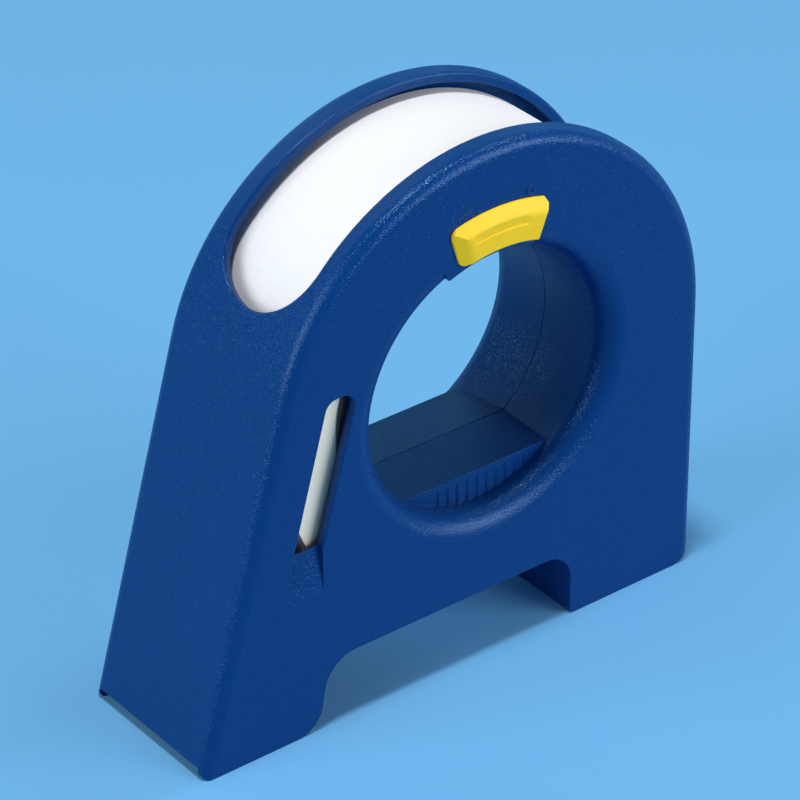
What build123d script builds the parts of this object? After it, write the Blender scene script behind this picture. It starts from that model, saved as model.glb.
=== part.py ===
from build123d import *
import os
from math import acos, asin, atan2, cos, degrees, hypot, radians, sin, sqrt, tan

# Masking tape dispenser in millimetres.
# X runs from the front foot to the rear foot, Y from the latch side to the far side, Z up.
# Pieces are drawn about the hole axis and the middle of the body, then moved to the origin at export.

# Housing outline
body_width = 43.0
wall = 2.4
front_lean_angle = 74.5
edge_round = 3.0
foot_length = 32.77
toe_round = 2.0
instep_run = 3.0
foot_round = 7.5
instep_round = 9.0
arch_height = 18.0
arch_round = 7.5
heel_length = 37.8
heel_front_round = 1.2
heel_round = 6.0
front_lift = 2.8

# Hand hole and the flat floor in it
hole_radius = 33.1
hole_flare = 5.5
drum_wall = 2.9
floor_rise_far = 6.6
floor_rise_seam = 7.7
floor_rise_near = 7.4
floor_near_length = 14.6
floor_far_length = 16.6
floor_edge_round = 0.4
flute_count = 10
flute_first = -11.5
flute_pitch = 2.83
flute_round = 1.1
flute_depth = 0.3
flute_drop = 1.8

# Long window in the rim and the opening under the roll
window_half = 14.8
window_front_angle = 149.9
window_rear_angle = 20.0
window_edge_round = 0.8
well_clearance = 1.2
well_side_clearance = 0.8
well_lip = 1.0

# Seam between the two halves
seam = 1.4
seam_gap = 0.04
drum_seam_gap = 0.15
lip_reach = 1.5
lip_wall = 1.0
lip_clearance = 0.3
peg_radius = 2.2
peg_reach = 3.0
peg_chamfer = 0.6
peg_clearance = 0.3
tube_wall = 1.5
tube_setback = 0.5
heel_peg_inset = 11.0
heel_peg_height = 9.0
flank_peg_inset = 12.0
flank_peg_rise = 15.0
instep_peg_setback = 1.5
instep_peg_rise = 9.0

# Viewing slot and finger ramp in the near side
slot_core_overlap = 0.5
slot_width = 7.7
slot_rise = 13.7
slot_drop = 23.05
slot_round = 3.0
slot_edge_round = 0.5
ramp_length = 11.45
ramp_depth = 1.6

# Latch button, arm and lug, with angles counted from the rear toward the top
latch_proud = 2.0
latch_width = 9.8
latch_start_angle = 73.5
latch_end_angle = 107.2
latch_tail_lean_angle = 1.2
latch_travel_angle = 4.0
latch_lift = 0.1
latch_bevel_width = 3.2
latch_bevel_drop = 1.5
latch_bevel_round = 4.0
latch_shoulder_round = 0.5
latch_lead_round = 2.4
latch_heel_round = 1.4
latch_toe_round = 0.8
latch_tail_chamfer = 1.3
latch_edge_round = 0.4
grip_rise = 4.2
grip_steep_width = 0.5
grip_width = 2.6
grip_depth = 0.45
grip_start_angle = 78.6
grip_end_angle = 101.5
grip_run_out = 3.0
ledge_setback = 1.6
ledge_width = 1.7
ledge_start_gap_angle = 0.5
ledge_end_gap_angle = 1.8
ledge_round = 0.8
ledge_strip = 0.8
arm_setback = 1.2
arm_thickness = 1.4
arm_start_angle = 86.0
arm_end_angle = 94.8
arm_gap = 0.2
arm_end_gap_angle = 0.6
web_rise = 3.6
web_gap = 0.3
web_back_gap = 0.2
lug_start_angle = 83.0
lug_end_angle = 99.0
lug_setback = 1.5
lug_thickness = 2.0
lug_gap = 0.3
mark_gap = 1.7
mark_height = 0.15
mark_width = 0.5
locked_mark_angle = 101.0
locked_mark_span_angle = 5.0
open_mark_angle = 79.0
open_mark_radius = 1.2

# Latch retainer and its rivets
retainer_gap = 0.1
retainer_sheet = 0.4
retainer_flange_gap = 0.5
retainer_start_angle = 80.0
retainer_end_angle = 100.0
rivet_inset = 1.2
rivet_margin = 1.5
rivet_radius = 0.7
rivet_angles = [84.0, 96.0]
rivet_bite = 0.8
rivet_head_radius = 1.2
rivet_head = 0.3
rivet_slot_gap = 0.3

# Roll on its hub
hub_clearance = 0.3
hub_wall = 1.75
hub_flange_overlap = 1.0
hub_flange = 0.6
hub_far_overhang = 0.5
core_clearance = 0.05
core_wall = 3.2
tape_build = 14.7
roll_side_gap = 0.1
roll_rim_clearance = 2.6
roll_poke = 2.0
drag_pad_core_gap = 1.7
drag_pad_width = 9.0
drag_pad_start_angle = 200.0
drag_pad_end_angle = 250.0
drag_pad_thickness = 0.75

# Foot mechanism
cheek_seat = 0.05
sheet = 0.8
cheek_side_gap = 0.25
tape_thickness = 0.3
strand_gap = 0.3
strand_ground_gap = 0.3
strand_lead_angle = 8.0
strand_past_blade = 0.4
press_radius = 6.0
press_core_radius = 4.2
press_axle_radius = 1.5
axle_clearance = 0.05
roller_side_gap = 0.1
press_to_holder = 1.16
guide_height = 22.0
guide_radius = 3.0
guide_core_radius = 2.2
guide_axle_radius = 1.0
guide_rib_width = 1.1
guide_rib_count = 11
web_setback = 4.7
bracket_web_low = 5.5
bracket_web_gap = 2.0
guide_boss_radius = 2.8
press_boss_radius = 5.2
peg_boss_radius = 2.3
screw_edge = 4.0
screw_side = 6.0
screw_spacing = 8.0
screw_radius = 1.25
screw_length = 6.0
screw_head_radius = 2.2
screw_head = 1.4
recess_length = 2.4
recess_width = 0.5
recess_depth = 0.7
boss_half_height = 4.0
boss_margin = 2.0

# Cutter behind the lower edge of the front wall
blade_wall_gap = 1.5
blade_sheet = 0.5
blade_tip_height = 1.3
blade_length = 10.0
tooth_count = 24
tooth_depth = 1.0
holder_thickness = 2.7
holder_low = 1.8
holder_high = 15.0
holder_side_gap = 0.1
holder_peg_radius = 1.2
holder_peg_height = 9.5
blade_screw_height = 8.6
blade_screw_side = 10.0
blade_screw_radius = 1.0
blade_screw_head_radius = 2.0
blade_screw_head = 1.1
blade_screw_bite = 2.1

# Overrun of every cut
over = 1.0

# Places that follow from the sizes above
lean = radians(front_lean_angle)
half_width = body_width / 2
inner_half = half_width - wall
drum_radius = hole_radius + drum_wall
hub_bore = drum_radius + hub_clearance
hub_radius = hub_bore + hub_wall
core_bore = hub_radius + core_clearance
core_radius = core_bore + core_wall
roll_radius = core_radius + tape_build
rim_inner = roll_radius + roll_rim_clearance
rim_radius = rim_inner + wall
axis_height = arch_height + roll_radius - roll_poke
heel_front = rim_radius - heel_length
flange_radius = core_radius + hub_flange_overlap
cheek_outer = inner_half - cheek_seat
cheek_inner = cheek_outer - sheet
tape_half = cheek_inner - cheek_side_gap
roller_half = tape_half - roller_side_gap
hole_bottom = axis_height - hole_radius
slot_back_reach = core_radius - slot_core_overlap
slot_front_reach = slot_back_reach + slot_width
slot_top = axis_height + slot_rise
slot_bottom = axis_height - slot_drop
ramp_bottom = slot_bottom - ramp_length
ledge_inner = hole_radius + ledge_setback
latch_inner = ledge_inner + ledge_width
latch_outer = latch_inner + latch_width
grip_inner = latch_inner + grip_rise
arm_inner = hole_radius + arm_setback
arm_outer = arm_inner + arm_thickness
web_outer = latch_inner + web_rise
lug_low = seam + lug_setback
lug_high = lug_low + lug_thickness
retainer_inner = flange_radius + retainer_flange_gap
rivet_circle = retainer_inner + rivet_inset
retainer_outer = rivet_circle + rivet_margin
drag_pad_inner = core_radius + drag_pad_core_gap
bracket_web_high = guide_height - guide_radius - bracket_web_gap
screw_height = bracket_web_high - screw_edge
screw_sides = [screw_side, screw_side + screw_spacing]
lip_setback = wall - lip_wall
relief_setback = lip_setback - lip_clearance
button_back = half_width + latch_lift
face_near = half_width + latch_proud
web_back = inner_half + web_back_gap
web_front = half_width - ledge_strip - web_gap
groove_inner = arm_inner - arm_gap
groove_start_angle = arm_start_angle - arm_end_gap_angle
groove_end_angle = arm_end_angle + latch_travel_angle + arm_end_gap_angle
ledge_start_angle = latch_start_angle - ledge_start_gap_angle
ledge_end_angle = latch_end_angle + latch_travel_angle + ledge_end_gap_angle
ledge_round_angle = degrees(ledge_round / ledge_inner)
blade_front_reach = rim_inner - blade_wall_gap
blade_back_reach = blade_front_reach - blade_sheet
holder_back_reach = blade_back_reach - holder_thickness
press_height = strand_ground_gap + tape_thickness + strand_gap + press_radius
body_low = -2 * rim_radius


def front_x(reach, height):
    """X at a height on the plane parallel to the front wall at this reach from the hole axis."""
    return ((height - axis_height) * cos(lean) - reach) / sin(lean)


front_reach = -front_x(rim_radius, 0)
foot_back_low = front_reach - foot_length
foot_back_high = foot_back_low - instep_run
mouth_back = -foot_back_low - foot_round
web_x = -foot_back_low - web_setback
toe_setback = toe_round / tan(lean / 2) - toe_round
axis_x = (front_reach - toe_setback - rim_radius) / 2
shift_y = latch_proud / 2
press_reach = holder_back_reach - press_to_holder - press_radius
press_x = front_x(press_reach, press_height)
well_radius = roll_radius + well_clearance
well_half = sqrt(well_radius**2 - (axis_height - arch_height - well_lip) ** 2)
peg_places = [
    (rim_radius - heel_peg_inset, heel_peg_height),
    (rim_radius - flank_peg_inset, arch_height + flank_peg_rise),
    (instep_peg_setback - foot_back_high, arch_height + instep_peg_rise),
]


# Drawing helpers, where a sketch holds X and Z


def prism(sketch, y_low, y_high):
    """The sketch filled from one Y to another."""
    return Pos(0, y_high, 0) * extrude(Plane.XZ * sketch, amount=y_high - y_low, dir=(0, -1, 0))


def disc(radius, x=0, height=axis_height):
    return Pos(x, height, 0) * Circle(radius)


def ring(inner, outer, y_low, y_high):
    """Tube about the hole axis."""
    return prism(disc(outer) - disc(inner), y_low, y_high)


def block(x_low, x_high, z_low, z_high):
    centre = Pos((x_low + x_high) / 2, (z_low + z_high) / 2, 0)
    return centre * Rectangle(x_high - x_low, z_high - z_low)


def sector(inner, outer, start, end):
    """Ring sector about the hole axis."""
    far = CenterArc((0, axis_height), outer, start, end - start)
    near = CenterArc((0, axis_height), inner, start, end - start)
    return make_face([far, Line(far @ 1, near @ 1), near, Line(near @ 0, far @ 0)])


def polar(radius, angle):
    return radius * cos(radians(angle)), axis_height + radius * sin(radians(angle))


def corner(sketch, place):
    return sketch.vertices().sort_by_distance((place[0], place[1], 0))[0]


def rounded(sketch, corners):
    """The sketch with each listed corner rounded, as (place, radius)."""
    for place, radius in corners:
        sketch = fillet(corner(sketch, place), radius)
    return sketch


def wall_plane(reach):
    """Plane parallel to the front wall: X toward the near side, Y up the wall from the table."""
    origin = (front_x(reach, 0), 0, 0)
    return Plane(origin=origin, x_dir=(0, -1, 0), z_dir=(-sin(lean), 0, cos(lean)))


def wall_slab(sketch, reach_low, reach_high):
    return extrude(wall_plane(reach_low) * sketch, amount=reach_high - reach_low)


# Housing


def rim_edges(low):
    """Front wall, rim arc and rear wall down to a height."""
    front_top = (-rim_radius * sin(lean), axis_height + rim_radius * cos(lean))
    arc = ThreePointArc(front_top, (0, axis_height + rim_radius), (rim_radius, axis_height))
    front = Line((front_x(rim_radius, low), low), front_top)
    rear = Line((rim_radius, axis_height), (rim_radius, low))
    return front, arc, rear


def outline():
    """Side view of the housing."""
    front, arc, rear = rim_edges(0)
    corners = [
        ((rim_radius, 0), heel_round),
        ((heel_front, 0), heel_front_round),
        ((heel_front, arch_height), arch_round),
        ((-foot_back_high, arch_height), instep_round),
        ((-foot_back_low, 0), foot_round),
        ((-front_reach, 0), toe_round),
    ]
    base = Polyline(rear @ 1, *[place for place, radius in corners[1:]])
    return rounded(make_face([front, arc, rear, base]), corners)


def softened_body():
    """Front, rim and rear walls with their long edges rounded, run on far below the feet."""
    front, arc, rear = rim_edges(body_low)
    body = prism(make_face([front, arc, rear, Line(rear @ 1, front @ 0)]), -half_width, half_width)
    sides = body.faces().sort_by(Axis.Y)
    long_edges = [edge for side in (sides[0], sides[-1]) for edge in side.edges().sort_by(Axis.Z)[1:]]
    return fillet(long_edges, edge_round)


side_view = outline()
cavity_view = offset(side_view, amount=-wall, kind=Kind.INTERSECTION)
lip_view = offset(side_view, amount=-lip_setback, kind=Kind.INTERSECTION)
relief_view = offset(side_view, amount=-relief_setback, kind=Kind.INTERSECTION)
mid_wall_view = offset(side_view, amount=-wall / 2, kind=Kind.INTERSECTION)
body_form = softened_body()


def housing_half(y_low, y_high, face_y, cavity_low, cavity_high):
    """One half with its flared hole, hollow between side plate and seam."""
    half = body_form & prism(side_view, y_low, y_high)
    half -= prism(disc(hole_radius), y_low - over, y_high + over)
    mouth = half.faces().filter_by(Axis.Y).sort_by(lambda face: abs(face.center().Y - face_y))[0]
    half = fillet(mouth.inner_wires()[0].edges(), hole_flare)
    return half - prism(cavity_view - disc(drum_radius), cavity_low, cavity_high)


def hole_floor(y_low, y_high, rise_low, rise_high):
    """Flat floor that fills the bottom of the hole and slopes a little with the draft."""
    low = hole_bottom - drum_wall
    top_low = (y_low, hole_bottom + rise_low)
    top_high = (y_high, hole_bottom + rise_high)
    side = make_face(Polyline((y_low, low), (y_high, low), top_high, top_low, close=True))
    wedge = extrude(Plane.YZ * side, amount=hole_radius, both=True)
    return wedge & prism(disc(hole_radius + drum_wall / 2), y_low, y_high)


def floor_flutes():
    """Upright hollows in the floor's near end."""
    length = floor_rise_near - flute_drop
    y = -floor_near_length - flute_round + flute_depth
    bar = Cylinder(flute_round, length, align=(Align.CENTER, Align.CENTER, Align.MIN))
    hole = prism(disc(hole_radius), -half_width, seam)
    return [Pos(flute_first + flute_pitch * i, y, hole_bottom) * bar & hole for i in range(flute_count)]


def window_end(angle):
    """Round end of the rim window, a cylinder whose axis points out from the hole axis."""
    along = (cos(radians(angle)), 0, sin(radians(angle)))
    start = Vector(0, 0, axis_height) + Vector(*along) * roll_radius
    disc_plane = Plane(origin=start, z_dir=along)
    return extrude(disc_plane * Circle(window_half), amount=rim_radius - roll_radius + over)


def rim_window():
    turn = degrees(asin(window_half / rim_radius))
    rear = window_rear_angle + turn
    front = window_front_angle - turn
    window = prism(sector(roll_radius, rim_radius + over, rear, front), -window_half, window_half)
    return window + window_end(rear) + window_end(front)


def with_window(shell):
    """The shell with the window cut through its rim and the cut's outer edge rounded."""
    shell -= rim_window()
    rim = []
    for edge in shell.edges():
        middle = edge.center()
        on_rim = hypot(middle.X, middle.Z - axis_height) > rim_radius - window_edge_round
        beside = window_half / 2 < abs(middle.Y) < window_half + window_edge_round
        above = middle.Z > axis_height
        if on_rim and beside and above and edge.length > edge_round:
            rim.append(edge)
    return fillet(rim, window_edge_round)


def roll_well():
    """Opening in the arch under the roll."""
    side = tape_half + well_side_clearance
    gap = prism(block(-well_half, well_half, arch_height - arch_round, arch_height + wall), -side, side)
    return gap + ring(hub_radius, well_radius, -side, side)


def foot_mouth():
    """Open underside of the front foot, with the front wall stopping above the table."""
    mouth = block(front_x(rim_radius, 0) - over, mouth_back, -over, front_lift)
    return prism(mouth, -inner_half, inner_half)


def lug_passage():
    """Entry for the latch lug in the far drum and the pocket behind its keeper lip."""
    outer = drum_radius + over
    start = lug_start_angle - arm_end_gap_angle
    end = lug_end_angle + latch_travel_angle + arm_end_gap_angle
    entry_end = lug_end_angle + arm_end_gap_angle
    entry = prism(sector(groove_inner, outer, start, entry_end), seam - over, lug_low)
    pocket = prism(sector(groove_inner, outer, start, end), lug_low - lug_gap, lug_high + lug_gap)
    lip_stretch = sector(groove_inner, outer, start - arm_end_gap_angle, end + arm_end_gap_angle)
    return entry + pocket + prism(lip_stretch, seam - lip_reach - over, seam)


def seam_lip():
    """Inner half of the wall and of the drum, standing past the seam."""
    outline_lip = lip_view - cavity_view
    drum_lip = disc(drum_radius) - disc(drum_radius - lip_wall)
    low = seam - lip_reach
    return prism(outline_lip, low, seam) + prism(drum_lip, low, seam)


def drum_step():
    """Shadow line between the two halves of the drum."""
    return ring(hole_radius - over, drum_radius + over, seam - drum_seam_gap, seam)


def seam_relief():
    """Room for the seam lip in the near half."""
    low = seam - lip_reach - lip_clearance
    outline_room = relief_view - disc(drum_radius)
    drum_room = disc(drum_radius + over) - disc(drum_radius - lip_wall - lip_clearance)
    return prism(outline_room, low, seam) + prism(drum_room, low, seam)


def seam_peg(place):
    peg = prism(disc(peg_radius, *place), seam - peg_reach, inner_half + wall / 2)
    return chamfer(peg.faces().sort_by(Axis.Y)[0].edges(), peg_chamfer)


def bracket_boss():
    """Block on the instep wall that takes the bracket screws."""
    low = screw_height - boss_half_height
    view = block(web_x, -foot_back_high, low, screw_height + boss_half_height) & mid_wall_view
    return prism(view, screw_sides[0] - boss_margin, screw_sides[-1] + boss_margin)


def main_shell():
    shell = housing_half(seam, half_width, half_width, seam - over, inner_half)
    shell += seam_lip()
    shell += [seam_peg(place) for place in peg_places]
    shell += hole_floor(seam, floor_far_length, floor_rise_seam, floor_rise_far)
    shell += bracket_boss()
    shell = with_window(shell)
    shell -= roll_well()
    shell -= foot_mouth()
    shell -= lug_passage()
    return shell - [screw_shank(y) for y in screw_sides]


def near_floor():
    floor = hole_floor(-floor_near_length, seam - seam_gap, floor_rise_near, floor_rise_seam)
    front_edge = floor.edges().filter_by(Axis.X).group_by(Axis.Z)[-1].sort_by(Axis.Y)[0]
    return fillet(front_edge, floor_edge_round) - floor_flutes()


def viewing_slot():
    low_front = (front_x(slot_front_reach, slot_bottom), slot_bottom)
    top_front = (front_x(slot_front_reach, slot_top), slot_top)
    top_back = (front_x(slot_back_reach, slot_top), slot_top)
    low_back = (front_x(slot_back_reach, slot_bottom), slot_bottom)
    view = make_face(Polyline(low_front, top_front, top_back, low_back, close=True))
    view = rounded(view, [(top_front, slot_round), (top_back, slot_round)])
    return prism(view, -half_width - over, -inner_half + over)


def finger_ramp():
    """Slope that rises from the foot of the viewing slot to the outer face."""
    places = [
        (front_x(slot_front_reach, ramp_bottom), ramp_bottom),
        (front_x(slot_front_reach, slot_bottom), slot_bottom),
        (front_x(slot_back_reach, slot_bottom), slot_bottom),
        (front_x(slot_back_reach, slot_bottom), ramp_bottom),
    ]
    band = prism(make_face(Polyline(*places, close=True)), -half_width - over, -inner_half)
    slope = make_face(
        Polyline(
            (-half_width, ramp_bottom),
            (-half_width + ramp_depth, slot_bottom),
            (-half_width - over, slot_bottom),
            (-half_width - over, ramp_bottom),
            close=True,
        )
    )
    return band & extrude(Plane.YZ * slope, amount=rim_radius + axis_height, both=True)


def latch_ledge():
    """Stretch of the hole's edge that isn't flared, under the latch."""
    plate_part = sector(ledge_inner, hole_radius + hole_flare, ledge_start_angle, ledge_end_angle)
    plate_part = fillet(corner(plate_part, polar(ledge_inner, ledge_end_angle)), ledge_round)
    drum_part = sector(ledge_inner, drum_radius, ledge_start_angle, ledge_end_angle - ledge_round_angle)
    flare_end = -half_width + hole_flare
    return prism(plate_part, -half_width, -inner_half) + prism(drum_part, -half_width, flare_end)


def latch_room():
    """Web window, arm groove and rivet slot in the near half, all behind the button."""
    face = -half_width + ledge_strip
    window_outer = web_outer + arm_gap
    room = sector(groove_inner, window_outer, groove_start_angle, groove_end_angle)
    mouth = sector(latch_inner, window_outer, groove_start_angle, groove_end_angle)
    groove = sector(groove_inner, drum_radius + over, groove_start_angle, groove_end_angle)
    reach = rivet_radius + rivet_slot_gap
    spread = degrees(reach / rivet_circle)
    first = rivet_angles[0] - spread
    last = rivet_angles[-1] + latch_travel_angle + spread
    track = sector(rivet_circle - reach, rivet_circle + reach, first, last)
    outside = -half_width - over
    cuts = prism(room, face, -inner_half) + prism(mouth, outside, -inner_half)
    return cuts + prism(groove, -inner_half - over, seam + over) + prism(track, outside, -inner_half + over)


def latch_marks():
    """Raised dash for locked and ring for open."""
    face = -half_width
    half_span = locked_mark_span_angle / 2
    low = latch_outer + mark_gap - mark_width / 2
    dash = sector(low, low + mark_width, locked_mark_angle - half_span, locked_mark_angle + half_span)
    x, z = polar(latch_outer + mark_gap, open_mark_angle)
    circle = disc(open_mark_radius, x, z) - disc(open_mark_radius - mark_width, x, z)
    return [prism(view, face - mark_height, face + mark_height) for view in (dash, circle)]


def seam_tube(place):
    bore = peg_radius + peg_clearance
    tube = disc(bore + tube_wall, *place) - disc(bore, *place)
    return prism(tube, -inner_half - wall / 2, seam - tube_setback)


def cover_shell():
    shell = housing_half(-half_width, seam - seam_gap, -half_width, -inner_half, seam + over)
    shell -= viewing_slot()
    near_side = shell.faces().filter_by(Axis.Y).sort_by(Axis.Y)[0]
    slot_rim = near_side.inner_wires().sort_by(lambda wire: wire.length)[0]
    shell = fillet(slot_rim.edges(), slot_edge_round)
    shell -= seam_relief()
    shell -= drum_step()
    shell += [seam_tube(place) for place in peg_places]
    shell += near_floor()
    shell += latch_ledge()
    shell = with_window(shell)
    shell -= roll_well()
    shell -= foot_mouth()
    shell -= finger_ramp()
    shell -= latch_room()
    return shell + latch_marks()


# Latch


def button_view():
    """Side view of the button, with its tail end leaning outward."""
    tail = latch_start_angle - latch_tail_lean_angle
    far = CenterArc((0, axis_height), latch_outer, tail, latch_end_angle - tail)
    near = CenterArc((0, axis_height), latch_inner, latch_start_angle, latch_end_angle - latch_start_angle)
    view = make_face([far, Line(far @ 1, near @ 1), near, Line(near @ 0, far @ 0)])
    lead = polar(latch_outer, latch_end_angle)
    heel = polar(latch_inner, latch_end_angle)
    toe = polar(latch_inner, latch_start_angle)
    view = rounded(view, [(lead, latch_lead_round), (heel, latch_heel_round), (toe, latch_toe_round)])
    return chamfer(corner(view, polar(latch_outer, tail)), latch_tail_chamfer)


def finger_groove():
    """Curved hollow with a gentle upper side, a steep lower side and ends that run out."""
    dish = make_face(
        Polyline(
            (grip_inner + grip_width, -face_near - over),
            (grip_inner + grip_width, -face_near),
            (grip_inner + grip_steep_width, -face_near + grip_depth),
            (grip_inner, -face_near),
            (grip_inner, -face_near - over),
            close=True,
        )
    )
    left = polar(grip_inner, grip_end_angle)[0]
    right = polar(grip_inner, grip_start_angle)[0]
    run = make_face(
        Polyline(
            (left, -face_near - over),
            (left, -face_near),
            (left + grip_run_out, -face_near + grip_depth),
            (right - grip_run_out, -face_near + grip_depth),
            (right, -face_near),
            (right, -face_near - over),
            close=True,
        )
    )
    ends = extrude(Plane.XY.offset(axis_height) * run, amount=latch_outer)
    return ends & Pos(0, 0, axis_height) * revolve(dish, Axis.Y)


def bevelled_section(deep, edge):
    """Face, back, shoulder and bevel of the button, seen along its edge."""
    shoulder = (edge, -face_near + latch_bevel_drop)
    crest = (edge - latch_bevel_width, -face_near)
    base = [(deep, -face_near), (deep, -button_back), (edge, -button_back)]
    section = make_face(Polyline(*base, shoulder, crest, close=True))
    return rounded(section, [(shoulder, latch_shoulder_round), (crest, latch_bevel_round)])


def end_cap(section, place, outward):
    """A section run along one end of the button, its edge facing outward at this angle."""
    turn = radians(outward)
    side = (cos(turn), 0, sin(turn))
    along = (-sin(turn), 0, cos(turn))
    plane = Plane(origin=(place[0], 0, place[1]), x_dir=side, z_dir=along)
    return extrude(plane * section, amount=2 * latch_outer, both=True)


def latch_button():
    """Arc-shaped button with a wide rounded bevel along its top and its lead end."""
    top = bevelled_section(latch_inner, latch_outer)
    top = rounded(top, [((latch_inner, -face_near), latch_edge_round)])
    lead = end_cap(bevelled_section(-2 * latch_outer, 0), (0, axis_height), latch_end_angle + 90)
    tail = rounded(
        block(-2 * latch_outer, 0, -face_near, -button_back),
        [((0, -face_near), latch_edge_round)],
    )
    toe = polar(latch_inner, latch_start_angle)
    tail_top = polar(latch_outer, latch_start_angle - latch_tail_lean_angle)
    tail_turn = degrees(atan2(tail_top[1] - toe[1], tail_top[0] - toe[0])) - 90
    button = prism(button_view(), -face_near, -button_back)
    button &= Pos(0, 0, axis_height) * revolve(top, Axis.Y)
    return (button & lead & end_cap(tail, toe, tail_turn)) - finger_groove()


def latch_slider():
    button = latch_button()
    step_view = sector(latch_inner + arm_gap, web_outer, arm_start_angle, arm_end_angle)
    step = prism(step_view, -button_back, -web_back)
    web = prism(sector(arm_inner, web_outer, arm_start_angle, arm_end_angle), -web_front, -web_back)
    arm = prism(sector(arm_inner, arm_outer, arm_start_angle, arm_end_angle), -web_front, lug_high)
    lug = prism(sector(arm_inner, arm_outer, lug_start_angle, lug_end_angle), lug_low, lug_high)
    return button + step + web + arm + lug - [rivet_shank(angle) for angle in rivet_angles]


retainer_near = -inner_half + retainer_gap
retainer_far = retainer_near + retainer_sheet


def rivet_shank(angle):
    return prism(disc(rivet_radius, *polar(rivet_circle, angle)), -button_back - rivet_bite, retainer_far)


def latch_retainer():
    view = sector(retainer_inner, retainer_outer, retainer_start_angle, retainer_end_angle)
    return prism(view, retainer_near, retainer_far) - [rivet_shank(angle) for angle in rivet_angles]


def latch_rivets():
    rivets = []
    for angle in rivet_angles:
        head_view = disc(rivet_head_radius, *polar(rivet_circle, angle))
        rivets.append(rivet_shank(angle) + prism(head_view, retainer_far, retainer_far + rivet_head))
    return Part() + rivets


# Roll


def roll_hub():
    flange_far = -tape_half - roll_side_gap
    flange_near = flange_far - hub_flange
    sleeve = ring(hub_bore, hub_radius, flange_near, tape_half + hub_far_overhang)
    return sleeve + ring(hub_bore, flange_radius, flange_near, flange_far)


def roll_drag_pad():
    drag_pad_outer = drag_pad_inner + drag_pad_width
    pad = sector(drag_pad_inner, drag_pad_outer, drag_pad_start_angle, drag_pad_end_angle)
    return prism(pad, inner_half - drag_pad_thickness, inner_half)


# Strand from the roll round the press roller and out under the cutter

roll_path_radius = roll_radius + strand_gap + tape_thickness / 2
press_path_radius = press_radius + strand_gap + tape_thickness / 2
centre_angle = atan2(axis_height - press_height, -press_x)
centre_distance = hypot(press_x, axis_height - press_height)
strand_side = centre_angle - acos((roll_path_radius + press_path_radius) / centre_distance)
strand_end = front_x(blade_front_reach, blade_tip_height) - strand_past_blade


def strand_edges(offset_to_roll):
    """Edges of the strand at a distance from its middle, counted toward the roll."""
    toward_roll = degrees(strand_side)
    roll_r = roll_path_radius - offset_to_roll
    lead_start = toward_roll + 180 - strand_lead_angle
    roll_arc = CenterArc((0, axis_height), roll_r, lead_start, strand_lead_angle)
    press_r = press_path_radius + offset_to_roll
    press_arc = CenterArc((press_x, press_height), press_r, -90, toward_roll + 90)
    drop = Line(roll_arc @ 1, press_arc @ 1)
    run_out = Line(press_arc @ 0, (strand_end, press_height - press_r))
    return roll_arc, drop, press_arc, run_out


def tape_strand():
    back = strand_edges(-tape_thickness / 2)
    sticky = strand_edges(tape_thickness / 2)
    ends = [Line(back[0] @ 0, sticky[0] @ 0), Line(back[3] @ 1, sticky[3] @ 1)]
    return prism(make_face([*back, *sticky, *ends]), -tape_half, tape_half)


# Rollers, their bracket and the cutter

guide_offset = (tape_thickness / 2 + strand_gap + guide_radius) / cos(strand_side)
press_side_x = press_x + press_path_radius * cos(strand_side)
press_side_z = press_height + press_path_radius * sin(strand_side)
guide_x = press_side_x - (guide_height - press_side_z) * sin(strand_side) / cos(strand_side) + guide_offset
holder_peg_x = front_x((holder_back_reach + blade_back_reach) / 2, holder_peg_height)


def rod(radius, x, z, half_length):
    return prism(disc(radius, x, z), -half_length, half_length)


def sleeve(bore, radius, x, z, half_length):
    return rod(radius, x, z, half_length) - rod(bore, x, z, half_length)


def press_roller_core():
    return sleeve(press_axle_radius + axle_clearance, press_core_radius, press_x, press_height, roller_half)


def press_roller_sleeve():
    return sleeve(press_core_radius, press_radius, press_x, press_height, roller_half)


def press_roller_axle():
    return rod(press_axle_radius, press_x, press_height, cheek_outer)


def guide_roller():
    """Thin core with narrow ribs, so that little of the sticky side is touched."""
    roller = rod(guide_core_radius, guide_x, guide_height, roller_half)
    rib = disc(guide_radius, guide_x, guide_height)
    pitch = (2 * roller_half - guide_rib_width) / (guide_rib_count - 1)
    for i in range(guide_rib_count):
        low = -roller_half + pitch * i
        roller += prism(rib, low, low + guide_rib_width)
    return roller - rod(guide_axle_radius + axle_clearance, guide_x, guide_height, roller_half + over)


def guide_roller_axle():
    return rod(guide_axle_radius, guide_x, guide_height, cheek_outer)


def foot_bracket():
    """Folded sheet: a web across the foot and a cheek beside each side plate."""
    bosses = [
        disc(guide_boss_radius, guide_x, guide_height),
        disc(press_boss_radius, press_x, press_height),
        disc(peg_boss_radius, holder_peg_x, holder_peg_height),
    ]
    web_edge = Line((web_x, bracket_web_low), (web_x, bracket_web_high))
    cheek_view = make_hull([*[edge for boss in bosses for edge in boss.edges()], web_edge])
    web = prism(block(web_x - sheet, web_x, bracket_web_low, bracket_web_high), -cheek_outer, cheek_outer)
    cheeks = prism(cheek_view, -cheek_outer, -cheek_inner) + prism(cheek_view, cheek_inner, cheek_outer)
    bracket = web + cheeks - rod(press_axle_radius, press_x, press_height, half_width)
    bracket -= rod(guide_axle_radius, guide_x, guide_height, half_width)
    bracket -= rod(holder_peg_radius, holder_peg_x, holder_peg_height, half_width)
    return bracket - [screw_shank(y) for y in screw_sides]


screw_seat = web_x - sheet


def screw_shank(y):
    return Pos(screw_seat, y, screw_height) * (
        Rot(0, 90, 0) * Cylinder(screw_radius, screw_length, align=(Align.CENTER, Align.CENTER, Align.MIN))
    )


def cross_recess():
    """Cross cut down from the origin."""
    bar = Box(recess_length, recess_width, recess_depth, align=(Align.CENTER, Align.CENTER, Align.MAX))
    return bar + Rot(0, 0, 90) * bar


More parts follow.
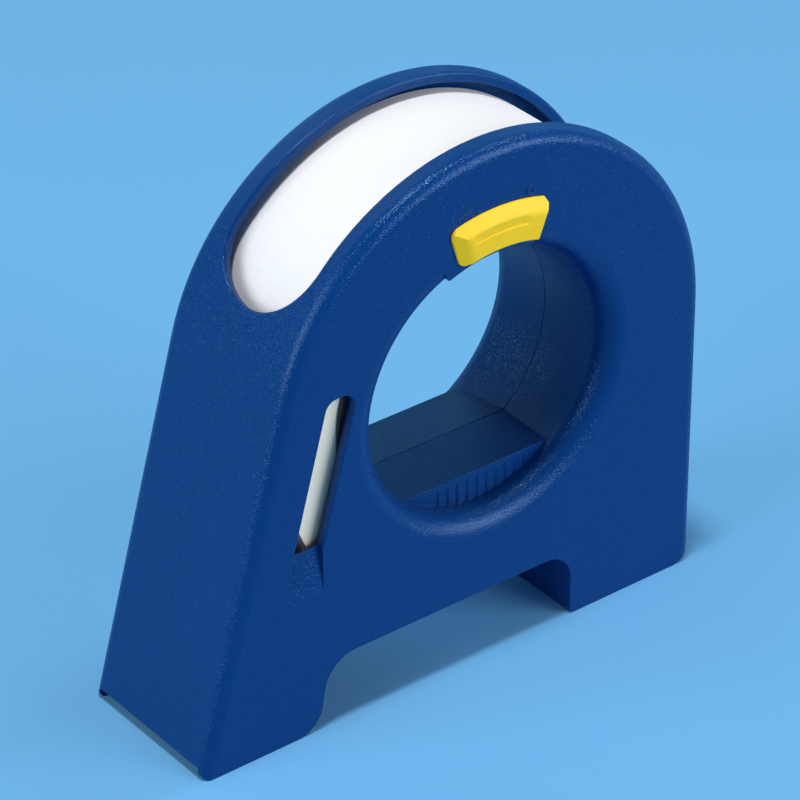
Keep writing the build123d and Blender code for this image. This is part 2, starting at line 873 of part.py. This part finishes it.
def bracket_screws():
    screws = []
    for y in screw_sides:
        head = Cylinder(screw_head_radius, screw_head, align=(Align.CENTER, Align.CENTER, Align.MIN))
        head -= Pos(0, 0, screw_head) * cross_recess()
        screws.append(screw_shank(y) + Pos(screw_seat, y, screw_height) * (Rot(0, -90, 0) * head))
    return Part() + screws


def blade_screw_shank(side):
    view = Pos(side, blade_screw_height, 0) * Circle(blade_screw_radius)
    return wall_slab(view, blade_back_reach - blade_screw_bite, blade_front_reach)


def cutter_blade():
    """Strip with a row of teeth along its lower edge."""
    width = 2 * (cheek_inner - holder_side_gap)
    pitch = width / tooth_count
    tip = blade_tip_height / sin(lean)
    points = [(-width / 2, tip + blade_length), (-width / 2, tip + tooth_depth)]
    for i in range(tooth_count):
        left = -width / 2 + pitch * i
        points += [(left + pitch / 2, tip), (left + pitch, tip + tooth_depth)]
    points += [(width / 2, tip + blade_length)]
    blade = wall_slab(make_face(Polyline(*points, close=True)), blade_back_reach, blade_front_reach)
    return blade - [blade_screw_shank(side) for side in (-blade_screw_side, blade_screw_side)]


def blade_holder():
    half = cheek_inner - holder_side_gap
    bar = wall_slab(
        Pos(0, (holder_low + holder_high) / 2, 0) * Rectangle(2 * half, holder_high - holder_low),
        holder_back_reach,
        blade_back_reach,
    )
    bar += rod(holder_peg_radius, holder_peg_x, holder_peg_height, cheek_outer)
    return bar - [blade_screw_shank(side) for side in (-blade_screw_side, blade_screw_side)]


def blade_screws():
    screws = []
    for side in (-blade_screw_side, blade_screw_side):
        head_view = Pos(side, blade_screw_height, 0) * Circle(blade_screw_head_radius)
        head = wall_slab(head_view, blade_front_reach, blade_front_reach + blade_screw_head)
        screws.append(blade_screw_shank(side) + head)
    return Part() + screws


# Export

pieces = {
    "main_shell": main_shell(),
    "cover_shell": cover_shell(),
    "latch_slider": latch_slider(),
    "latch_retainer": latch_retainer(),
    "latch_rivets": latch_rivets(),
    "roll_hub": roll_hub(),
    "tape_core": ring(core_bore, core_radius, -tape_half, tape_half),
    "tape_roll": ring(core_radius, roll_radius, -tape_half, tape_half),
    "roll_drag_pad": roll_drag_pad(),
    "tape_strand": tape_strand(),
    "press_roller_core": press_roller_core(),
    "press_roller_sleeve": press_roller_sleeve(),
    "press_roller_axle": press_roller_axle(),
    "guide_roller": guide_roller(),
    "guide_roller_axle": guide_roller_axle(),
    "foot_bracket": foot_bracket(),
    "bracket_screws": bracket_screws(),
    "cutter_blade": cutter_blade(),
    "blade_holder": blade_holder(),
    "blade_screws": blade_screws(),
}
os.makedirs("parts", exist_ok=True)
for name, piece in pieces.items():
    export_step(Pos(axis_x, shift_y, 0) * piece, f"parts/{name}.step")
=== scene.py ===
import math

import bpy
from mathutils import Matrix, Vector


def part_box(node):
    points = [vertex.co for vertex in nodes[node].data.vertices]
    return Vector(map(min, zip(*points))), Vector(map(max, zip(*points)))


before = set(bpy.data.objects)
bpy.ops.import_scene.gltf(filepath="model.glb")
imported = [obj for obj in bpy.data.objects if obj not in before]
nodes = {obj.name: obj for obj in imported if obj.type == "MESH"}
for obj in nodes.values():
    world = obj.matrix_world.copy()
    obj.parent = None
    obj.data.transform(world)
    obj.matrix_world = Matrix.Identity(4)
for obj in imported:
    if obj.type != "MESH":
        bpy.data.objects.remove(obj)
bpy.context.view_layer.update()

MM = 0.001
IMAGE = 800

# Camera at the photograph's viewing angle, with angles in degrees
FOCAL_PIXELS = 4007.7
SENSOR_WIDTH = 36.0
CAMERA_AZIMUTH = -37.82
CAMERA_ELEVATION = 32.17
CAMERA_ROLL = -0.26
CAMERA_DISTANCE = 908.14 * MM
CAMERA_TARGET = Vector((0.395, 1.0, 61.93)) * MM
CLIP_START, CLIP_END = 0.01, 20.0

# Stage, with distances in metres
FLOOR_COLOUR = (0.149, 0.436, 0.752)
FLOOR_MOTTLE = 1.015
FLOOR_HALF_WIDTH = 4.0
BACKGROUND = (0.165, 0.470, 0.810)
FADE_START, FADE_END = 0.45, 1.1
AMBIENT_COLOUR = (0.82, 0.90, 1.0)
AMBIENT_STRENGTH = 0.14

# Most of a noise lies between these values
NOISE_LOW, NOISE_HIGH = 0.3, 0.7

# How far round an edge the bevel shader blends the light
SHELL_EDGE = 0.25 * MM
LATCH_EDGE = 0.2 * MM
MOULDED_EDGE = 0.15 * MM
METAL_EDGE = 0.1 * MM

# The tape's wrinkles run across it, so their noise is stretched along Y
CREPE_SCALE = 1400.0
CREPE_STRETCH = 0.18

# Sockets of the Mix node that carry its colours
MIX_FACTOR, MIX_FIRST, MIX_SECOND, MIX_RESULT = 0, 6, 7, 2


def across(azimuth, elevation):
    """Unit vector from the object toward a place seen at this azimuth and elevation."""
    a, e = math.radians(azimuth), math.radians(elevation)
    return Vector((math.sin(a) * math.cos(e), -math.cos(a) * math.cos(e), math.sin(e)))


def make_camera():
    back = across(CAMERA_AZIMUTH, CAMERA_ELEVATION)
    right = (-back).cross(Vector((0, 0, 1))).normalized()
    up = back.cross(right)
    roll = math.radians(CAMERA_ROLL)
    rolled_right = right * math.cos(roll) + up * math.sin(roll)
    rolled_up = up * math.cos(roll) - right * math.sin(roll)
    data = bpy.data.cameras.new("photo_camera")
    data.sensor_width = SENSOR_WIDTH
    data.lens = FOCAL_PIXELS * SENSOR_WIDTH / IMAGE
    data.clip_start, data.clip_end = CLIP_START, CLIP_END
    camera = bpy.data.objects.new("photo_camera", data)
    bpy.context.scene.collection.objects.link(camera)
    turn = Matrix((rolled_right, rolled_up, back)).transposed().to_4x4()
    camera.matrix_world = Matrix.Translation(CAMERA_TARGET + back * CAMERA_DISTANCE) @ turn
    bpy.context.scene.camera = camera


class Look:
    """A procedural material, built node by node round its Principled shader."""

    def __init__(self, name, **values):
        self.material = bpy.data.materials.new(name)
        self.material.use_nodes = True
        self.tree = self.material.node_tree
        self.shader = self.tree.nodes["Principled BSDF"]
        for socket, value in values.items():
            self.shader.inputs[socket.replace("_", " ")].default_value = value
        self.place = self.add("ShaderNodeTexCoord").outputs["Object"]

    def add(self, kind, settings=(), **inputs):
        node = self.tree.nodes.new(kind)
        for key, value in dict(settings).items():
            setattr(node, key, value)
        for key, value in inputs.items():
            self.feed(node.inputs[key.replace("_", " ")], value)
        return node

    def feed(self, socket, value):
        if isinstance(value, bpy.types.NodeSocket):
            self.tree.links.new(value, socket)
        else:
            socket.default_value = value

    def math(self, operation, *values):
        node = self.add("ShaderNodeMath", {"operation": operation})
        for socket, value in zip(node.inputs, values):
            self.feed(socket, value)
        return node.outputs[0]

    def noise(self, scale, detail=2.0, roughness=0.5, place=None):
        node = self.add("ShaderNodeTexNoise", Scale=scale, Detail=detail, Roughness=roughness)
        self.tree.links.new(place or self.place, node.inputs["Vector"])
        return node.outputs["Fac"]

    def stretched(self, scale):
        """Object coordinates scaled by a vector."""
        node = self.add("ShaderNodeMapping", Scale=scale)
        self.tree.links.new(self.place, node.inputs["Vector"])
        return node.outputs["Vector"]

    def spread(self, value, low, high, to_low=0.0, to_high=1.0):
        """Value mapped from low..high to to_low..to_high and held at its ends."""
        node = self.add("ShaderNodeMapRange")
        for socket, number in zip(node.inputs, (value, low, high, to_low, to_high)):
            self.feed(socket, number)
        return node.outputs["Result"]

    def varied(self, noise, low=0.0, high=1.0):
        """Noise mapped from its usual values to low..high."""
        return self.spread(noise, NOISE_LOW, NOISE_HIGH, low, high)

    def blend(self, share, first, second):
        """Colour between two others, each a tuple or a socket."""
        node = self.add("ShaderNodeMix", {"data_type": "RGBA"})
        self.feed(node.inputs[MIX_FACTOR], share)
        for index, colour in ((MIX_FIRST, first), (MIX_SECOND, second)):
            self.feed(node.inputs[index], (*colour, 1.0) if isinstance(colour, tuple) else colour)
        return node.outputs[MIX_RESULT]

    def colour(self, value):
        self.feed(self.shader.inputs["Base Color"], value)

    def rough(self, value):
        self.feed(self.shader.inputs["Roughness"], value)

    def relief(self, heights, edge=0.0):
        """Bump from (height, depth in metres) pairs, over edges that catch light as if rounded."""
        normal = None
        if edge:
            normal = self.add("ShaderNodeBevel", {"samples": 4}, Radius=edge).outputs["Normal"]
        for height, depth in heights:
            bump = self.add("ShaderNodeBump", Height=height, Distance=depth, Strength=1.0)
            if normal:
                self.tree.links.new(normal, bump.inputs["Normal"])
            normal = bump.outputs["Normal"]
        self.tree.links.new(normal, self.shader.inputs["Normal"])


def shell_plastic():
    """Moulded blue plastic: its sparked skin glints in points, and is matt seen along it."""
    gloss_tint = (0.35, 0.65, 1.0, 1.0)
    look = Look("shell_plastic", Specular_IOR_Level=0.34, Specular_Tint=gloss_tint)
    drift = look.noise(scale=25.0, detail=3.0)
    grain = look.noise(scale=3100.0, detail=0.0)
    fine = look.noise(scale=7000.0, detail=1.0)
    look.colour(look.blend(look.varied(drift), (0.0012, 0.0342, 0.162), (0.0016, 0.0368, 0.174)))
    facing = look.add("ShaderNodeLayerWeight", Blend=0.5).outputs["Facing"]
    matt = look.spread(facing, 0.55, 0.80, to_high=0.45)
    look.rough(look.math("ADD", look.varied(fine, 0.08, 0.14), matt))
    look.relief([(grain, 0.108 * MM)], edge=SHELL_EDGE)
    return look.material


def latch_plastic():
    """Satin yellow plastic."""
    look = Look("latch_plastic", Specular_IOR_Level=0.15)
    drift = look.noise(scale=60.0)
    grain = look.noise(scale=3000.0)
    look.colour(look.blend(look.varied(drift), (0.94, 0.590, 0.014), (0.97, 0.620, 0.019)))
    look.rough(look.varied(grain, 0.30, 0.38))
    look.relief([(grain, 0.004 * MM)], edge=LATCH_EDGE)
    return look.material


def inner_plastic(name, first, second, drift_scale, grain_scale, roughness, depth):
    """Plain moulded plastic of the parts inside."""
    look = Look(name, Specular_IOR_Level=0.5)
    drift = look.noise(drift_scale)
    grain = look.noise(grain_scale)
    look.colour(look.blend(drift, first, second))
    look.rough(look.varied(grain, *roughness))
    look.relief([(grain, depth)], edge=MOULDED_EDGE)
    return look.material


def about_roll_axis(look):
    """Distance from the roll's axis, angle about it and place along it."""
    parts = look.add("ShaderNodeSeparateXYZ", Vector=look.place)
    low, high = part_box("tape_roll")
    middle = (low + high) / 2
    x = look.math("SUBTRACT", parts.outputs["X"], middle.x)
    y = look.math("SUBTRACT", parts.outputs["Y"], middle.y)
    z = look.math("SUBTRACT", parts.outputs["Z"], middle.z)
    squares = look.math("ADD", look.math("MULTIPLY", x, x), look.math("MULTIPLY", z, z))
    return look.math("SQRT", squares), look.math("ARCTAN2", z, x), y


def wound_tape():
    """Creped paper: faint wrinkles across the tape outside, wound layers on the sides."""
    layer_drift = 0.4 * MM
    flank_depth = 0.05 * MM
    look = Look("wound_tape", Specular_IOR_Level=0.3)
    radius, angle, side = about_roll_axis(look)
    low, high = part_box("tape_roll")

    along = look.math("MULTIPLY", angle, (high.x - low.x) / 2)
    narrowed = look.math("MULTIPLY", side, CREPE_STRETCH)
    crepe_place = look.add("ShaderNodeCombineXYZ", X=along, Y=narrowed).outputs["Vector"]
    crepe = look.noise(CREPE_SCALE, detail=3.0, roughness=0.55, place=crepe_place)

    round_roll = look.math("MULTIPLY", angle, layer_drift)
    layer_place = look.add("ShaderNodeCombineXYZ", X=radius, Y=round_roll).outputs["Vector"]
    layers = look.noise(scale=2600.0, detail=3.0, roughness=0.65, place=layer_place)

    side_start = (high.y - low.y) / 2 - flank_depth
    on_side = look.math("GREATER_THAN", look.math("ABSOLUTE", side), side_start)
    off_side = look.math("SUBTRACT", 1.0, on_side)
    flank = look.blend(look.varied(layers), (0.86, 0.785, 0.62), (0.92, 0.85, 0.69))
    outer = look.blend(look.varied(crepe), (0.835, 0.84, 0.85), (0.865, 0.87, 0.88))
    look.colour(look.blend(on_side, outer, flank))
    look.rough(look.varied(crepe, 0.62, 0.75))
    outer_height = look.math("MULTIPLY", crepe, off_side)
    flank_height = look.math("MULTIPLY", layers, on_side)
    look.relief([(look.math("ADD", outer_height, flank_height), 0.012 * MM)])
    return look.material


def strand_paper():
    """The same creped paper on its straight run."""
    look = Look("strand_paper", Specular_IOR_Level=0.35)
    place = look.stretched((1.0, CREPE_STRETCH, 1.0))
    wrinkle = look.noise(CREPE_SCALE, detail=3.0, roughness=0.55, place=place)
    look.colour(look.blend(look.varied(wrinkle), (0.80, 0.79, 0.77), (0.87, 0.87, 0.85)))
    look.rough(look.varied(wrinkle, 0.6, 0.75))
    look.relief([(wrinkle, 0.02 * MM)])
    return look.material


def core_board():
    """Brown cardboard with fibres and dark specks."""
    look = Look("core_board", Specular_IOR_Level=0.2)
    place = look.stretched((1.0, 3.0, 1.0))
    fibre = look.noise(scale=900.0, detail=4.0, roughness=0.6, place=place)
    speck = look.noise(scale=4000.0, detail=1.0)
    board = look.blend(look.varied(fibre), (0.36, 0.25, 0.15), (0.50, 0.37, 0.23))
    look.colour(look.blend(look.spread(speck, 0.62, 0.72), board, (0.28, 0.19, 0.12)))
    look.rough(look.varied(fibre, 0.75, 0.9))
    look.relief([(fibre, 0.04 * MM)])
    return look.material


def pressed_felt():
    """Grey felt with tufts."""
    look = Look("pressed_felt", Specular_IOR_Level=0.1)
    fibre = look.noise(scale=2200.0, detail=4.0, roughness=0.7)
    tuft = look.noise(scale=500.0, detail=3.0)
    look.colour(look.blend(look.varied(fibre), (0.085, 0.085, 0.09), (0.17, 0.17, 0.18)))
    look.rough(look.varied(tuft, 0.85, 0.98))
    look.relief([(fibre, 0.08 * MM), (tuft, 0.1 * MM)])
    return look.material


def roller_rubber():
    """Dark rubber with grinding marks."""
    look = Look("roller_rubber", Specular_IOR_Level=0.4)
    place = look.stretched((1.0, 0.4, 1.0))
    marks = look.noise(scale=2400.0, detail=3.0, roughness=0.6, place=place)
    look.colour(look.blend(look.varied(marks), (0.045, 0.045, 0.05), (0.075, 0.075, 0.08)))
    look.rough(look.varied(marks, 0.62, 0.8))
    look.relief([(marks, 0.02 * MM)], edge=MOULDED_EDGE)
    return look.material


def metal(name, first, second, stretch, roughness, line_scale=5000.0, depth=0.003 * MM):
    """Bare metal with grinding or turning lines stretched along one axis."""
    look = Look(name, Metallic=1.0)
    line = look.noise(line_scale, roughness=0.6, place=look.stretched(stretch))
    cloud = look.noise(scale=160.0, detail=3.0)
    look.colour(look.blend(look.varied(cloud), first, second))
    look.rough(look.varied(line, *roughness))
    look.relief([(line, depth)], edge=METAL_EDGE)
    return look.material


shell_look = shell_plastic()
dark_look = inner_plastic(
    "dark_plastic",
    (0.017, 0.018, 0.020),
    (0.027, 0.028, 0.030),
    drift_scale=80.0,
    grain_scale=4000.0,
    roughness=(0.38, 0.5),
    depth=0.006 * MM,
)
pale_look = inner_plastic(
    "pale_plastic",
    (0.70, 0.70, 0.66),
    (0.77, 0.77, 0.74),
    drift_scale=120.0,
    grain_scale=5000.0,
    roughness=(0.3, 0.42),
    depth=0.004 * MM,
)
turned_steel = metal(
    "turned_steel",
    (0.52, 0.52, 0.53),
    (0.58, 0.58, 0.59),
    stretch=(1.0, 0.05, 1.0),
    roughness=(0.22, 0.34),
)
spring_strip = metal(
    "spring_strip",
    (0.36, 0.38, 0.43),
    (0.46, 0.47, 0.50),
    stretch=(0.05, 1.0, 1.0),
    roughness=(0.26, 0.38),
)
zinc_sheet = metal(
    "zinc_sheet",
    (0.54, 0.56, 0.58),
    (0.66, 0.66, 0.67),
    stretch=(1.0, 0.3, 1.0),
    roughness=(0.28, 0.42),
    line_scale=1500.0,
    depth=0.006 * MM,
)
ground_blade = metal(
    "ground_blade",
    (0.58, 0.58, 0.60),
    (0.66, 0.66, 0.67),
    stretch=(1.0, 0.04, 1.0),
    roughness=(0.18, 0.30),
)

looks = {
    "main_shell": shell_look,
    "cover_shell": shell_look,
    "latch_slider": latch_plastic(),
    "latch_retainer": spring_strip,
    "latch_rivets": turned_steel,
    "roll_hub": dark_look,
    "tape_core": core_board(),
    "tape_roll": wound_tape(),
    "roll_drag_pad": pressed_felt(),
    "tape_strand": strand_paper(),
    "press_roller_core": pale_look,
    "press_roller_sleeve": roller_rubber(),
    "press_roller_axle": turned_steel,
    "guide_roller": pale_look,
    "guide_roller_axle": turned_steel,
    "foot_bracket": zinc_sheet,
    "bracket_screws": turned_steel,
    "cutter_blade": ground_blade,
    "blade_holder": dark_look,
    "blade_screws": turned_steel,
}
for name, material in looks.items():
    piece = nodes[name]
    piece.data.materials.clear()
    piece.data.materials.append(material)


def mirror_and_camera_rays(tree):
    """Share that is 1 for what the camera sees directly, in gloss or through glass."""
    path = tree.nodes.new("ShaderNodeLightPath")
    total = path.outputs["Is Camera Ray"]
    for name in ("Is Glossy Ray", "Is Transmission Ray"):
        either = tree.nodes.new("ShaderNodeMath")
        either.operation = "MAXIMUM"
        tree.links.new(total, either.inputs[0])
        tree.links.new(path.outputs[name], either.inputs[1])
        total = either.outputs[0]
    return total


def floor_paper():
    """Matt pale blue paper that fades into the plain background far from the object."""
    look = Look("floor_paper", Specular_IOR_Level=0.1, Roughness=0.8)
    mottle = look.varied(look.noise(scale=6.0))
    look.colour(look.blend(mottle, FLOOR_COLOUR, tuple(FLOOR_MOTTLE * c for c in FLOOR_COLOUR)))
    distance = look.add("ShaderNodeVectorMath", {"operation": "LENGTH"})
    look.feed(distance.inputs[0], look.place)
    far = look.spread(distance.outputs["Value"], FADE_START, FADE_END)
    seen = look.math("MULTIPLY", far, mirror_and_camera_rays(look.tree))
    glow = look.add("ShaderNodeEmission", Color=(*BACKGROUND, 1.0), Strength=1.0)
    mix = look.add("ShaderNodeMixShader")
    look.feed(mix.inputs["Fac"], seen)
    look.tree.links.new(look.shader.outputs[0], mix.inputs[1])
    look.tree.links.new(glow.outputs[0], mix.inputs[2])
    look.tree.links.new(mix.outputs[0], look.tree.nodes["Material Output"].inputs["Surface"])
    return look.material


def make_floor():
    half = FLOOR_HALF_WIDTH
    mesh = bpy.data.meshes.new("floor")
    corners = [(-half, -half, 0.0), (half, -half, 0.0), (half, half, 0.0), (-half, half, 0.0)]
    mesh.from_pydata(corners, [], [(0, 1, 2, 3)])
    mesh.materials.append(floor_paper())
    floor = bpy.data.objects.new("floor", mesh)
    bpy.context.scene.collection.objects.link(floor)


def make_light(name, direction, distance, size, power):
    """Softbox aimed at the object from a direction, in degrees, metres and watts."""
    data = bpy.data.lights.new(name, "AREA")
    data.shape = "RECTANGLE"
    data.size, data.size_y = size
    data.energy = power
    lamp = bpy.data.objects.new(name, data)
    bpy.context.scene.collection.objects.link(lamp)
    toward = across(*direction)
    lamp.location = CAMERA_TARGET + toward * distance
    lamp.rotation_mode = "QUATERNION"
    lamp.rotation_quaternion = toward.to_track_quat("Z", "Y")


def make_world():
    """Dim ambient light on the object, and the plain background for whoever sees past it."""
    world = bpy.data.worlds.new("studio")
    bpy.context.scene.world = world
    world.use_nodes = True
    tree = world.node_tree
    ambient = tree.nodes["Background"]
    ambient.inputs["Color"].default_value = (*AMBIENT_COLOUR, 1.0)
    ambient.inputs["Strength"].default_value = AMBIENT_STRENGTH
    seen = tree.nodes.new("ShaderNodeBackground")
    seen.inputs["Color"].default_value = (*BACKGROUND, 1.0)
    seen.inputs["Strength"].default_value = 1.0
    mix = tree.nodes.new("ShaderNodeMixShader")
    tree.links.new(mirror_and_camera_rays(tree), mix.inputs["Fac"])
    tree.links.new(ambient.outputs[0], mix.inputs[1])
    tree.links.new(seen.outputs[0], mix.inputs[2])
    tree.links.new(mix.outputs[0], tree.nodes["World Output"].inputs["Surface"])


make_camera()
make_floor()
make_world()
make_light("overhead_softbox", (-60.0, 83.0), distance=1.5, size=(0.2, 0.2), power=11.3)
make_light("front_softbox", (-96.0, 20.0), distance=1.8, size=(1.3, 1.1), power=19.5)
make_light("near_softbox", (34.0, 14.0), distance=2.2, size=(1.6, 1.3), power=38.2)
make_light("side_softbox", (85.0, 57.0), distance=1.5, size=(0.2, 0.2), power=3.2)
make_light("back_softbox", (186.0, 38.0), distance=1.5, size=(1.2, 0.9), power=2.0)

bpy.context.scene.view_settings.view_transform = "Standard"
